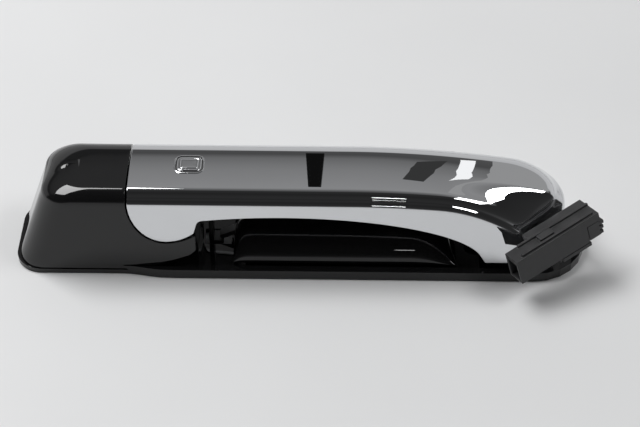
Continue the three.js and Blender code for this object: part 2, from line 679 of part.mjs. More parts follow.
addTo(base, 'stop_buffer_far', stopBuffer(1), 'rubber');
addTo(base, 'connector_housing', connectorHousing(), 'black');
addTo(base, 'connector_lock', connectorLock(), 'black');
addTo(base, 'connector_terminal_1', connectorTerminal(-1), 'brass');
addTo(base, 'connector_terminal_2', connectorTerminal(1), 'brass');
addTo(base, 'connector_cradle', connectorCradle(), 'black');
addTo(base, 'lead_grommet', leadGrommet(), 'rubber');
addTo(base, 'connector_lead', lead(), 'rubber');
addTo(strap, 'chrome_cover', chromeCover(), 'chrome');
addTo(strap, 'strap_core', strapCore(), 'black');
addTo(strap, 'strap_hook', strapHook(), 'steel');
addTo(strap, 'hook_screw', hookScrew(), 'steel');
addTo(strap, 'button_bezel', buttonBezel(), 'chrome');
addTo(strap, 'lock_button', lockButton(), 'chrome');
addTo(strap, 'button_switch', buttonSwitch(), 'black');
addTo(strap, 'button_boot', buttonBoot(), 'rubber');
addTo(strap, 'circuit_board', circuitBoard(), 'board');
addTo(strap, 'antenna_core', antennaCore(), 'ferrite');
addTo(strap, 'antenna_coil', antennaCoil(), 'copper');
addTo(strap, 'sensor_foil', sensorFoil(), 'foil');

const handle = new THREE.Group();
handle.add(base, strap);

export default handle;
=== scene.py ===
"""Car door handle: looks for the chrome pull strap, gloss-black base and lead connector.

Laid out as an add-on and run as a script. Lengths inside the shape functions are in millimetres
and are scaled to metres when a mesh is made. X runs along the handle with the hinge end at +X,
Z points out of the door and -Y is the near side.
"""

import json
import math

import bmesh
import bpy
import numpy as np
from bpy.props import FloatProperty, FloatVectorProperty, PointerProperty
from mathutils import Matrix, Vector


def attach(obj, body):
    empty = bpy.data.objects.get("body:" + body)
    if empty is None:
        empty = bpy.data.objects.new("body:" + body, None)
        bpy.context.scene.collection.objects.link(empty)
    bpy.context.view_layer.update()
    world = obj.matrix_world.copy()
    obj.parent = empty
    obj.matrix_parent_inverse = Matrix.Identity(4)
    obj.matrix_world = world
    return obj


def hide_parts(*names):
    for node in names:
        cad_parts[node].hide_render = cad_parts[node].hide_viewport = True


bl_info = {
    "name": "Car door handle",
    "version": (1, 0, 0),
    "blender": (4, 5, 0),
    "location": "View3D > Sidebar > Door handle",
    "description": "Surfaces, finishes and studio for a chrome car door handle",
    "category": "Object",
}

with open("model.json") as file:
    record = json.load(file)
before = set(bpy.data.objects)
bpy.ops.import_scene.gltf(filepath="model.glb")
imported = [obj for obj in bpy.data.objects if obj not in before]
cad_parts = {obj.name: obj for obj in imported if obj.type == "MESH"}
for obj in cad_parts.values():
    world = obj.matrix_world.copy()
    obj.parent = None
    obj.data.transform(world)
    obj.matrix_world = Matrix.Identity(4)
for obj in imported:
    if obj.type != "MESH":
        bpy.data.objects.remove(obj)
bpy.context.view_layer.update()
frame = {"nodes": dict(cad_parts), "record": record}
MM = 0.001

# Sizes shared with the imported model, in millimetres
HEIGHT = 44.0
LEFT = -125.0
BODY_HALF = 22.0
SIDE_TOP_HALF = 20.1
FACE_HALF = 14.4
FACE_DROP = 0.85
EDGE_RADIUS = 4.0
MOULDING_RADIUS = 3.4
MOULDING_DROP = 6.44
FAR_FACE_HALF = 9.5
FAR_RADIUS = 14.8
CROWN_START = 20.0
CROWN_FALL = 0.0011
SWEEP_START = 58.0
SWEEP_FALL = 0.0042
NOSE = 119.0
NOSE_LENGTH = 22.0
END_RADIUS = 12.0
LEDGE = 0.5                    # width of the ledge below the near edge rounding
LOBE_X, LOBE_LENGTH, LOBE_TOP, LOBE_DEPTH = -58.3, 15.4, 38.0, 20.0
JOINT_X = -73.7                # parting line between the end cap and the strap
NOTCH_LOW = (-46.0, 22.6)
NOTCH_HIGH = (-44.6, 27.6)
ROOF_START = (-41.0, 29.8)
ARCH_X, ARCH_TOP, ARCH_LENGTH = -7.0, 31.8, 85.3
ARCH_FOOT = 7.8
JOINT_GAP = 0.7
CAP_FLOOR = 2.6                # underside of the end cap
CAP_END = -45.7                # its wall in the finger well
WELL_LEFT, WELL_RIGHT = -29.8, 67.5
WELL_HALF, WELL_FOOT, WELL_RISE = 19.5, 4.6, 14.0
WELL_STEEP, WELL_SLOPE = 7.8, 19.5   # lengths of the well floor's steep and sloping ends
SLOT_END, SLOT_HALF = -19.6, 4.0     # the latch lever's slot
BUTTON_X, BUTTON_HALF_X, BUTTON_HALF_Y, BUTTON_RADIUS = -48.2, 5.3, 4.6, 2.4
MOUTH_TIP = -66.7              # point of the opening beside the lobe


# ---------------------------------------------------------------- shape helpers

def smooth(t):
    """Smooth step of t: 3t^2 - 2t^3."""
    return t * t * (3 - 2 * t)


def crown(x, y):
    """Crown line: level, then falling with the square of the distance past CROWN_START; past
    SWEEP_START the near shoulder falls further, by a smooth step across the face."""
    near = smooth(np.clip((-4 - y) / 15, 0, 1))
    sweep = 2 * SWEEP_FALL * np.maximum(0, x - SWEEP_START) ** 2
    return HEIGHT - CROWN_FALL * np.maximum(0, x - CROWN_START) ** 2 - sweep * near


def arc_rows(radius, start, stop, count, half, drop):
    """Rows of a rounding: half width grows with the sine of the tilt and drop with its cosine,
    counted from the last row, which sits at the given half width and drop."""
    tilt = np.radians(np.linspace(start, stop, count))
    end = tilt[0]
    return np.column_stack([
        half + radius * (np.sin(tilt) - np.sin(end)),
        drop + radius * (np.cos(end) - np.cos(tilt)),
    ])


def face_rows(half, tail, count):
    """Rows of the crowned face, from its edge to the spine: drop goes with the square of y."""
    y = half * np.linspace(1, 0, count) ** 0.8
    return np.column_stack([y, tail * (y / half) ** 2])


def resample(rows, count):
    """The same polyline with evenly spaced points."""
    step = np.r_[0, np.cumsum(np.hypot(*np.diff(rows, axis=0).T))]
    at = np.linspace(0, step[-1], count)
    return np.column_stack([np.interp(at, step, rows[:, i]) for i in range(2)])


def stepped_profile():
    """Near section of the strap from the side's top up to the spine: moulding, ledge, edge
    rounding and face, with the ledge softened by a weighted moving average (1, 2, 1) / 4."""
    low = arc_rows(MOULDING_RADIUS, 80, 20, 13, SIDE_TOP_HALF, MOULDING_DROP)
    edge_half = low[-1, 0] - LEDGE
    edge_drop = FACE_DROP + EDGE_RADIUS * (math.cos(math.radians(7)) - math.cos(math.radians(62)))
    high = arc_rows(EDGE_RADIUS, 62, 7, 18, edge_half, edge_drop)
    bend = resample(np.vstack([low, high]), 46)
    kernel = np.array([1, 2, 1]) / 4
    soft = bend.copy()
    for _ in range(3):
        soft[1:-1] = np.column_stack([np.convolve(soft[:, i], kernel, "valid") for i in range(2)])
    return np.vstack([soft, face_rows(FACE_HALF, FACE_DROP, 10)[1:]])


def plain_profile(count):
    """Near section of the end cap: one rounding from the side's top to the face."""
    radius = (SIDE_TOP_HALF - FACE_HALF) / (math.sin(math.radians(84)) - math.sin(math.radians(7)))
    drop = FACE_DROP + radius * (math.cos(math.radians(7)) - math.cos(math.radians(84)))
    bend = arc_rows(radius, 84, 7, count - 9, SIDE_TOP_HALF, drop)
    return np.vstack([bend, face_rows(FACE_HALF, FACE_DROP, 10)[1:]])


def far_profile(count):
    """Far section: a tight rounding at the side's top, then one long soft rounding to the face."""
    face_tilt = math.degrees(math.atan(2 * FACE_DROP * FAR_FACE_HALF / FACE_HALF ** 2))
    tail = FACE_DROP * (FAR_FACE_HALF / FACE_HALF) ** 2
    long_gain = FAR_RADIUS * (math.sin(math.radians(48)) - math.sin(math.radians(face_tilt)))
    long_fall = FAR_RADIUS * (math.cos(math.radians(face_tilt)) - math.cos(math.radians(48)))
    corner_half = FAR_FACE_HALF + long_gain
    corner = (SIDE_TOP_HALF - corner_half) / (math.sin(math.radians(82)) - math.sin(math.radians(48)))
    corner_drop = tail + long_fall + corner * (math.cos(math.radians(48)) - math.cos(math.radians(82)))
    low = arc_rows(corner, 82, 48, 14, SIDE_TOP_HALF, corner_drop)
    long = arc_rows(FAR_RADIUS, 48, face_tilt, count - 22, corner_half, tail + long_fall)
    return np.vstack([low, long[1:], face_rows(FAR_FACE_HALF, tail, 10)[1:]])


def ring_outline(half_near, half_far, nose, stations, start):
    """Plan outlines, one row per ring. Stations run 0..1 along the near side from x = start to
    the nose's root, 1..2 round the near quarter of the nose, 2..3 the far quarter, 3..4 back."""
    hn, hf, nose = half_near[:, None], half_far[:, None], nose[:, None]
    length = NOSE_LENGTH * (0.35 + 0.65 * hn / BODY_HALF)
    root = nose - length
    s = stations[None, :]
    near_x = start + (root - start) * s
    far_x = start + (root - start) * (4 - s)
    angle = np.clip(s - 1, 0, 2) * math.pi / 2
    arc_x = root + length * np.sin(angle)
    x = np.where(s <= 1, near_x, np.where(s < 3, arc_x, far_x))
    side = np.where(s <= 2, -hn, hf) * np.abs(np.cos(angle))
    y = np.where(s <= 1, -hn, np.where(s < 3, side, hf))
    return x, y


def end_outline(half_near, half_far, left, start, stations):
    """Plan outlines of the free end: 0..1 along the near side from x = start leftwards, 1..2
    the near corner, 2..3 the end, 3..4 the far corner and 4..5 back along the far side."""
    hn, hf, left = half_near[:, None], half_far[:, None], left[:, None]
    corner_n, corner_f = np.minimum(END_RADIUS, hn), np.minimum(END_RADIUS, hf)
    reach = np.maximum(np.maximum(corner_n, corner_f), END_RADIUS * 0.5)
    root = left + reach
    s = stations[None, :]
    a = np.clip(s - 1, 0, 1) * math.pi / 2
    b = (1 - np.clip(s - 3, 0, 1)) * math.pi / 2
    x = np.select(
        [s < 1, s < 2, s < 3, s < 4],
        [start + (root - start) * s, root - reach * np.sin(a), left + 0 * s, root - reach * np.sin(b)],
        start + (root - start) * (5 - s))
    near_y = -(hn - corner_n * (1 - np.cos(a)))
    far_y = hf - corner_f * (1 - np.cos(b))
    middle = near_y + (far_y - near_y) * np.clip(s - 2, 0, 1)
    y = np.select([s < 2, s < 3, s < 4], [near_y, middle, far_y], hf + 0 * s)
    return x, y


def cut_curve(offset):
    """Side-view line where the strap ends, as dense x and z: a quarter ellipse round the lobe,
    a bow to the notch, the steep notch, a rounded roof, and the arch down to the foot."""
    def bow(a, c, b, count):
        t = np.linspace(0, 1, count)[:, None]
        return (1 - t) ** 2 * np.array(a) + 2 * t * (1 - t) * np.array(c) + t * t * np.array(b)

    turn = np.linspace(0, math.pi / 2, 22)
    lobe = np.column_stack([
        LOBE_X - (LOBE_LENGTH + offset) * np.cos(turn),
        LOBE_TOP - (LOBE_DEPTH + offset) * np.sin(turn)])
    low = LOBE_TOP - LOBE_DEPTH - offset
    notch = (NOTCH_LOW[0] + offset, NOTCH_LOW[1] - offset)
    under = bow((LOBE_X, low), (LOBE_X + 6.5, low), notch, 12)
    rise = np.linspace(under[-1], (NOTCH_HIGH[0] + offset, NOTCH_HIGH[1] - offset), 8)
    roof = ROOF_START[1] - offset
    knee = bow(rise[-1], (NOTCH_HIGH[0] + 0.8 + offset, roof), (ROOF_START[0], roof), 10)
    top = bow((ROOF_START[0], roof), (ARCH_X - 18, ARCH_TOP - offset), (ARCH_X, ARCH_TOP - offset), 16)
    fall = np.linspace(0, math.pi / 2, 40)
    arch = np.column_stack([
        ARCH_X + (ARCH_LENGTH - offset) * np.sin(fall),
        ARCH_FOOT - offset + (ARCH_TOP - ARCH_FOOT) * np.cos(fall)])
    return np.vstack([lobe, under[1:], rise[1:], knee[1:], top[1:], arch[1:]])


def normals_of(points):
    """Unit normals of a grid, from its two differences, borrowed from the row below where a row
    has shrunk to a point."""
    du = np.gradient(points, axis=1)
    dv = np.gradient(points, axis=0)
    n = np.cross(du, dv)
    size = np.linalg.norm(n, axis=2, keepdims=True)
    good = size[..., 0] > 1e-9
    n = np.where(good[..., None], n / np.maximum(size, 1e-12), 0)
    for r in range(1, len(n)):
        n[r] = np.where(good[r][:, None], n[r], n[r - 1])
    return n


def grid_faces(rows, columns, base=0):
    """Quads of a grid whose points are numbered row by row."""
    a = base + np.arange(rows - 1)[:, None] * columns + np.arange(columns - 1)[None, :]
    return np.stack([a, a + 1, a + 1 + columns, a + columns], axis=-1).reshape(-1, 4)


def mesh_object(name, points, faces, sharp=35):
    """A mesh from point and quad arrays in millimetres: doubles merged, faces turned outwards,
    smooth shaded with sharp edges above an angle."""
    mesh = bpy.data.meshes.new(name)
    mesh.vertices.add(len(points))
    mesh.vertices.foreach_set("co", (np.asarray(points) * MM).astype(np.float32).ravel())
    mesh.loops.add(faces.size)
    mesh.loops.foreach_set("vertex_index", faces.astype(np.int32).ravel())
    mesh.polygons.add(len(faces))
    mesh.polygons.foreach_set("loop_start", np.arange(0, faces.size, 4, dtype=np.int32))
    mesh.update(calc_edges=True)
    work = bmesh.new()
    work.from_mesh(mesh)
    bmesh.ops.remove_doubles(work, verts=work.verts, dist=2e-6)
    bmesh.ops.dissolve_degenerate(work, edges=work.edges, dist=1e-7)
    bmesh.ops.recalc_face_normals(work, faces=work.faces)
    work.to_mesh(mesh)
    work.free()
    mesh.shade_smooth()
    mesh.set_sharp_from_angle(angle=math.radians(sharp))
    piece = bpy.data.objects.new(name, mesh)
    bpy.context.scene.collection.objects.link(piece)
    return piece


def gather(solids):
    """Several point and quad arrays as one pair."""
    points, faces, base = [], [], 0
    for p, f in solids:
        points.append(p)
        faces.append(f + base)
        base += len(p)
    return np.vstack(points), np.vstack(faces)


def shell(patches, loop, wall, lip):
    """A closed wall round open patches. Each patch is a grid with its normals; the inner skin is
    the patch moved in by the wall. The loop lists edge points, their normals and the points just
    inside them; a strip turns round the edge with a small radius, crosses and turns back."""
    solids = []
    for grid, normal in patches:
        rows, columns = grid.shape[:2]
        for skin in (grid, grid - wall * normal):
            solids.append((skin.reshape(-1, 3), grid_faces(rows, columns)))
    edge, normal, inside = loop
    along = np.roll(edge, -1, axis=0) - np.roll(edge, 1, axis=0)
    along /= np.maximum(np.linalg.norm(along, axis=1, keepdims=True), 1e-9)
    out = edge - inside
    out -= (out * along).sum(1, keepdims=True) * along
    out -= (out * normal).sum(1, keepdims=True) * normal
    out /= np.maximum(np.linalg.norm(out, axis=1, keepdims=True), 1e-9)
    turn = np.linspace(0, math.pi / 2, 5)
    depth = np.r_[lip * (1 - np.cos(turn)), wall - lip * (1 - np.cos(turn[::-1]))]
    reach = np.r_[lip * np.sin(turn), lip * np.sin(turn[::-1])]
    strip = edge - depth[:, None, None] * normal + reach[:, None, None] * out
    strip = np.concatenate([strip, strip[:, :1]], axis=1)
    solids.append((strip.reshape(-1, 3), grid_faces(*strip.shape[:2])))
    return gather(solids)


def faced(points, middle):
    """A grid with its normals turned away from a middle point."""
    normal = normals_of(points)
    away = ((points - np.array(middle)) * normal).sum()
    return points, normal * (1 if away > 0 else -1)


def walk(runs):
    """Joins edge runs into one loop. A run is a patch, the index of its edge points and the
    index of the points just inside them; points that repeat are dropped."""
    edge = np.vstack([patch[0][at].reshape(-1, 3) for patch, at, _ in runs])
    normal = np.vstack([patch[1][at].reshape(-1, 3) for patch, at, _ in runs])
    inside = np.vstack([patch[0][by].reshape(-1, 3) for patch, _, by in runs])
    step = np.linalg.norm(edge - np.roll(edge, 1, axis=0), axis=1)
    keep = step > 1e-3
    return edge[keep], normal[keep], inside[keep]


# ---------------------------------------------------------------- the outer form

def ring_sizes(near, far):
    """Half widths, drops, free end and nose of every ring from the two section profiles."""
    inward = (SIDE_TOP_HALF - near[:, 0]) / SIDE_TOP_HALF
    lean = 13.7 + 10.3 * np.minimum(1, inward / 0.28) + 8 * np.maximum(0, inward - 0.28)
    return near[:, 0], far[:, 0], near[:, 1], far[:, 1], LEFT + lean, NOSE - 5 - 34 * inward


def strap_skin(lip):
    """Outer skin of the chrome strap as one grid: side rows from the cut line up, then the
    section rows to the spine; columns follow the cut line's points and the nose."""
    near = stepped_profile()
    hn, hf, dn, df, _, nose = ring_sizes(near, far_profile(len(near)))
    cut = cut_curve(-lip)
    start = cut[0, 0]
    foot_root = NOSE - NOSE_LENGTH
    cut = np.vstack([cut, np.column_stack([
        np.linspace(cut[-1, 0], foot_root, 10)[1:], np.full(9, ARCH_FOOT + lip)])])
    side = (cut[:, 0] - start) / (foot_root - start)
    quarter = np.linspace(0, 1, 26)[1:]
    half_turn = np.r_[side, 1 + quarter]
    stations = np.r_[half_turn, 4 - half_turn[::-1][1:]]
    share = smooth(np.clip((stations - 0.985) / (4 - 2 * 0.985), 0, 1))[None, :]
    x, y = ring_outline(hn, hf, nose, stations, start)
    z = crown(x, y) - (dn[:, None] * (1 - share) + df[:, None] * share)
    top = np.stack([x, y, z], axis=-1)
    one = np.ones(1)
    x0, y0 = ring_outline(BODY_HALF * one, BODY_HALF * one, NOSE * one, stations, start)
    foot = np.stack([x0[0], y0[0], np.full(len(stations), -1.0)], axis=-1)
    head = top[0]
    low, high = np.zeros(len(stations)), np.full(len(stations), 0.998)
    for _ in range(40):
        mid = (low + high) / 2
        at = foot + (head - foot) * mid[:, None]
        above = at[:, 2] > np.interp(at[:, 0], cut[:, 0], cut[:, 1])
        high, low = np.where(above, mid, high), np.where(above, low, mid)
    up = high[None, :] + (1 - high[None, :]) * np.linspace(0, 1, 11)[:-1, None]
    wall = foot[None] + (head - foot)[None] * up[..., None]
    return np.concatenate([wall, top], axis=0)


def cap_skin(lip):
    """Outer skin of the end cap as two grids that share the side's top row: the top, from the
    joint line round the free end, and the side down to the base."""
    near = plain_profile(56)
    hn, hf, dn, df, left, _ = ring_sizes(near, far_profile(len(near)))
    joint = JOINT_X - JOINT_GAP - lip
    along = np.linspace(0, 1, 16)
    bend = np.linspace(0, 1, 16)[1:]
    stations = np.r_[along, 1 + bend, 2 + bend, 3 + bend, 4 + along[1:]]
    share = smooth(np.clip(stations - 2, 0, 1))[None, :]
    x, y = end_outline(hn, hf, left, joint, stations)
    z = crown(x, y) - (dn[:, None] * (1 - share) + df[:, None] * share)
    top = np.stack([x, y, z], axis=-1)
    one = np.ones(1)
    x0, y0 = end_outline(BODY_HALF * one, BODY_HALF * one, LEFT * one, joint, stations)
    foot = np.stack([x0[0], y0[0], np.full(len(stations), -1.0)], axis=-1)
    rise = np.linspace(0, 1, 15)[:, None, None]
    base = foot + (top[0] - foot) * ((CAP_FLOOR + lip + 1) / (top[0][:, 2:] + 1))
    side = base[None] + (top[0] - base)[None] * rise
    return faced(top, (-100, 0, 15)), faced(side, (-100, 0, 15))


def mouth_line(x, lip):
    """Lower line of the cap's side under the lobe: the floor, then the rising line of the
    opening, which eases in from the opening's tip."""
    floor = CAP_FLOOR + lip
    rising = np.interp(x, [MOUTH_TIP, -59.7, -48.2, CAP_END], [floor + 0.5, 6.4, 10.8, 13.5])
    return floor + (rising - floor) * smooth(np.clip((x - MOUTH_TIP + 2) / 2.5, 0, 1))


def side_y(z, top_z):
    """Half width of the drafted side at height z, for a side whose top is at top_z."""
    return BODY_HALF - (BODY_HALF - SIDE_TOP_HALF) * (z + 1) / (top_z + 1)


def tongue_skin(lip, sign, top_z):
    """The cap's side under the lobe, right of the joint line, between the mouth line and the
    lobe's lower line, on the drafted side."""
    cut = cut_curve(JOINT_GAP + lip)
    keep = cut[:, 0] < CAP_END
    x = np.r_[cut[keep, 0], CAP_END]
    high = np.minimum(np.interp(x, cut[:, 0], cut[:, 1]), top_z)
    low = mouth_line(x, lip)
    z = low[None] + (high - low)[None] * np.linspace(0, 1, 15)[:, None]
    y = sign * side_y(z, top_z)
    return faced(np.stack([np.broadcast_to(x, z.shape), y, z], axis=-1), (-60, 0, 15))


def mouth_skin(sign, top_z):
    """Hollow behind the mouth line: from the side it runs inwards and down to the floor as a
    quarter of a squarish ellipse, deeper towards the finger well."""
    start = MOUTH_TIP - 1
    x = np.linspace(start, CAP_END, 30)[None, :]
    turn = np.linspace(0, math.pi / 2, 20)[:, None]
    high = mouth_line(x, 0.4) + 0.5
    deep = 21.0 - 11.4 * np.clip((x - start) / (CAP_END - start), 0, 1) ** 1.25
    edge = side_y(high, top_z) - 0.5
    y = edge + (deep - edge) * np.sin(turn) ** 0.7
    z = CAP_FLOOR + (high - CAP_FLOOR) * np.cos(turn) ** 0.7
    grid = np.stack([np.broadcast_to(x, z.shape), sign * y, z], axis=-1)
    return faced(grid, (-62, 0, 30))


def end_wall_skin(top_z):
    """Wall at the finger well's end: spans the two hollows' last lines and rises to the lobe."""
    turn = np.linspace(0, math.pi / 2, 20)
    high = float(mouth_line(np.array([CAP_END]), 0.4)[0]) + 0.5
    edge = side_y(high, top_z) - 0.5
    y = edge + (9.6 - edge) * np.sin(turn) ** 0.7
    z = CAP_FLOOR + (high - CAP_FLOOR) * np.cos(turn) ** 0.7
    low_y = np.r_[-y, y[::-1]]
    low_z = np.r_[z, z[::-1]]
    share = np.linspace(0, 1, 12)[:, None]
    grid = np.stack([
        np.full((12, 40), CAP_END - 0.05), np.broadcast_to(low_y, (12, 40)),
        low_z[None] + (21.0 - low_z)[None] * share], axis=-1)
    return faced(grid, (-80, 0, 15))


def open_sheet(patch, wall, lip):
    """A single grid as a closed wall, turned round all four of its edges."""
    runs = [
        (patch, np.s_[0, :], np.s_[1, :]),
        (patch, np.s_[:, -1], np.s_[:, -2]),
        (patch, np.s_[-1, ::-1], np.s_[-2, ::-1]),
        (patch, np.s_[::-1, 0], np.s_[::-1, 1]),
    ]
    return shell([patch], walk(runs), wall, lip)


def well_skin():
    """Raised floor of the finger well, closed by Solidify later. Its height over x is a steep
    squarish curve at the left end, level, then a sloping one; across y it is h (1 - |y/b|^2.4)^0.62.
    Quads inside the lever's slot are left out."""
    steep, slope = WELL_LEFT + WELL_STEEP, WELL_RIGHT - WELL_SLOPE
    x = np.r_[
        WELL_LEFT + WELL_STEEP * np.linspace(0, 1, 12) ** 2, np.linspace(steep, SLOT_END, 3)[1:],
        np.linspace(SLOT_END, slope, 40)[1:],
        slope + WELL_SLOPE * np.sin(np.linspace(0, math.pi / 2, 20))[1:]]
    a = np.clip((steep - x) / WELL_STEEP, 0, 1)
    b = np.clip((x - slope) / WELL_SLOPE, 0, 1)
    height = WELL_RISE * (1 - a ** 2.6) ** (1 / 2.6) * (1 - b ** 1.9) ** 0.8
    tilt = np.linspace(math.asin(SLOT_HALF / WELL_HALF), math.pi / 2, 22)
    half = WELL_HALF * np.sin(tilt)
    y = np.r_[-half[::-1], np.linspace(-SLOT_HALF, SLOT_HALF, 7)[1:-1], half]
    across = (1 - np.abs(y[None] / (WELL_HALF + 0.01)) ** 2.4) ** 0.62
    z = WELL_FOOT + height[:, None] * across
    grid = np.stack([np.broadcast_to(x[:, None], z.shape), np.broadcast_to(y, z.shape), z], axis=-1)
    faces = grid_faces(*z.shape)
    middle = grid.reshape(-1, 3)[faces].mean(axis=1)
    in_slot = (middle[:, 0] < SLOT_END) & (np.abs(middle[:, 1]) < SLOT_HALF)
    return grid.reshape(-1, 3), faces[~in_slot]


def pad_outline(margin, count=11):
    """Rounded rectangle round the button with a margin, as x and y of one turn."""
    radius = max(BUTTON_RADIUS + margin, 0.3)
    turn = np.linspace(0, math.pi / 2, count)
    corners = []
    for quarter, (sx, sy) in enumerate(((1, 1), (-1, 1), (-1, -1), (1, -1))):
        at = turn + quarter * math.pi / 2
        corners.append(np.column_stack([
            BUTTON_X + sx * (BUTTON_HALF_X + margin - radius) + radius * np.cos(at),
            sy * (BUTTON_HALF_Y + margin - radius) + radius * np.sin(at)]))
    return np.vstack(corners)


def pad_stack(rows, ring=False):
    """A closed solid from rows of margin and height over the rounded rectangle; a pad ends in
    its middle at both ends, a ring joins its last row to its first."""
    def level(outline, z):
        return np.column_stack([outline, np.full(len(outline), z)])

    outlines = [level(pad_outline(margin), z) for margin, z in rows]
    if ring:
        outlines.append(outlines[0])
    else:
        middle = np.tile([BUTTON_X, 0.0], (len(outlines[0]), 1))
        outlines = [level(middle, rows[0][1]), *outlines, level(middle, rows[-1][1] + 0.03)]
    grid = np.stack(outlines)
    grid = np.concatenate([grid, grid[:, :1]], axis=1)
    return grid.reshape(-1, 3), grid_faces(*grid.shape[:2])


# Margin outside the button's outline and height, row by row
PAD_ROWS = [(0, 41), (0, 43.9), (-0.06, 44.15), (-0.25, 44.33), (-0.5, 44.4), (-1.15, 44.42),
            (-1.25, 44.36), (-1.45, 44.36), (-1.55, 44.5), (-1.8, 44.58), (-2.6, 44.6)]
BEZEL_ROWS = [(1.25, 42.6), (1.25, 43.9), (1.16, 44.14), (0.95, 44.24), (0.72, 44.22), (0.58, 44.08),
              (0.55, 43.6), (0.55, 42.6)]
SEAL_ROWS = [(0.62, 43), (0.62, 44.03), (0.3, 44.06), (-0.05, 44.03), (-0.05, 43)]


# ---------------------------------------------------------------- finishes

def new_material(name, colour, roughness, metallic=0.0, **sockets):
    """A Principled material and its tree, with constants set on the shader's own sockets."""
    material = bpy.data.materials.new(name)
    material.use_nodes = True
    tree = material.node_tree
    shader = tree.nodes["Principled BSDF"]
    shader.inputs["Base Color"].default_value = (*colour, 1)
    shader.inputs["Roughness"].default_value = roughness
    shader.inputs["Metallic"].default_value = metallic
    for socket, value in sockets.items():
        shader.inputs[socket.replace("_", " ")].default_value = value
    return material, tree, shader


def noise(tree, scale, detail=3.0, stretch=(1, 1, 1)):
    """Noise over Object coordinates, with a Mapping node for stretch."""
    place = tree.nodes.new("ShaderNodeTexCoord")
    mapping = tree.nodes.new("ShaderNodeMapping")
    mapping.inputs["Scale"].default_value = stretch
    texture = tree.nodes.new("ShaderNodeTexNoise")
    texture.inputs["Scale"].default_value = scale
    texture.inputs["Detail"].default_value = detail
    tree.links.new(place.outputs["Object"], mapping.inputs["Vector"])
    tree.links.new(mapping.outputs["Vector"], texture.inputs["Vector"])
    return texture.outputs["Fac"]


def spread(tree, value, low, high, start=0.3, stop=0.7):
    """Maps a noise value to a range."""
    node = tree.nodes.new("ShaderNodeMapRange")
    node.inputs["From Min"].default_value = start
    node.inputs["From Max"].default_value = stop
    node.inputs["To Min"].default_value = low
    node.inputs["To Max"].default_value = high
    tree.links.new(value, node.inputs["Value"])
    return node.outputs["Result"]


def tint(tree, value, first, second, shader):
    """Blends two colours by a value into the base colour."""
    ramp = tree.nodes.new("ShaderNodeValToRGB")
    ramp.color_ramp.elements[0].position = 0.35
    ramp.color_ramp.elements[1].position = 0.65
    ramp.color_ramp.elements[0].color = (*first, 1)
    ramp.color_ramp.elements[1].color = (*second, 1)
    tree.links.new(value, ramp.inputs["Fac"])
    tree.links.new(ramp.outputs["Color"], shader.inputs["Base Color"])


def bump(tree, value, shader, strength, distance):
    """Bump from a value, its depth in millimetres."""
    node = tree.nodes.new("ShaderNodeBump")
    node.inputs["Strength"].default_value = strength
    node.inputs["Distance"].default_value = distance * MM
    tree.links.new(value, node.inputs["Height"])
    tree.links.new(node.outputs["Normal"], shader.inputs["Normal"])


def shade(colour, factor):
    return tuple(min(1.0, c * factor) for c in colour)


def finish(name):
    """The handle's finishes by name, made once: a base, a cloudy tint and roughness at the scale
    the real surface shows, and a fine relief."""
    title = f"{name}_finish"
    if title in bpy.data.materials:
        return bpy.data.materials[title]
    settings = bpy.context.scene.handle_finish
    chrome = tuple(settings.chrome_colour)
    gloss = tuple(settings.gloss_colour)
    recipe = {
        "bright_chrome": (chrome, (0.006, 0.014), 1.0, 60, 0.985, 900, 0.004, 0.0004, {}),
        "gloss_black": (gloss, (0.006, 0.02), 0.0, 45, 1.2, 700, 0.015, 0.001, {"IOR": 1.5}),
        "black_plastic": ((0.020, 0.020, 0.021), (0.34, 0.46), 0.0, 160, 1.3, 2600, 0.25, 0.02, {}),
        "rubber_black": ((0.017, 0.017, 0.017), (0.6, 0.8), 0.0, 120, 1.4, 1500, 0.4, 0.03, {}),
        "coated_black": ((0.012, 0.012, 0.012), (0.35, 0.5), 0.0, 160, 1.2, 1500, 0.2, 0.01, {}),
        "screw_steel": ((0.42, 0.43, 0.45), (0.25, 0.42), 1.0, 300, 0.85, 1500, 0.2, 0.01, {}),
        "cast_zinc": ((0.36, 0.36, 0.35), (0.42, 0.60), 1.0, 220, 0.8, 900, 0.4, 0.03, {}),
        "brass_insert": ((0.55, 0.38, 0.13), (0.28, 0.42), 1.0, 240, 0.8, 1200, 0.2, 0.01, {}),
        "ferrite_grey": ((0.05, 0.05, 0.055), (0.55, 0.75), 0.0, 400, 1.5, 1400, 0.4, 0.02, {}),
        "copper_winding": ((0.50, 0.20, 0.09), (0.25, 0.40), 0.9, 300, 0.8, 1200, 0.2, 0.01, {}),
        "board_green": ((0.02, 0.12, 0.05), (0.30, 0.45), 0.0, 300, 0.7, 1500, 0.2, 0.01, {}),
    }
    colour, (smoothest, roughest), metallic, cloud, change, grain, strength, depth, extra = recipe[name]
    material, tree, shader = new_material(title, colour, smoothest, metallic, **extra)
    clouds = noise(tree, cloud)
    tint(tree, clouds, colour, shade(colour, change), shader)
    tree.links.new(spread(tree, clouds, smoothest, roughest), shader.inputs["Roughness"])
    if name == "copper_winding":
        place = tree.nodes.new("ShaderNodeTexCoord")
        wave = tree.nodes.new("ShaderNodeTexWave")
        wave.bands_direction = "X"
        wave.inputs["Scale"].default_value = 500
        tree.links.new(place.outputs["Object"], wave.inputs["Vector"])
        bump(tree, wave.outputs["Fac"], shader, 0.9, 0.2)
    else:
        bump(tree, noise(tree, grain, 2.0), shader, strength, depth)
    return material


def wear(piece, name, body, nodes):
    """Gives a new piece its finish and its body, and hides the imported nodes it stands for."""
    piece.data.materials.clear()
    piece.data.materials.append(finish(name))
    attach(piece, body)
    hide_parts(*nodes)


# ---------------------------------------------------------------- settings

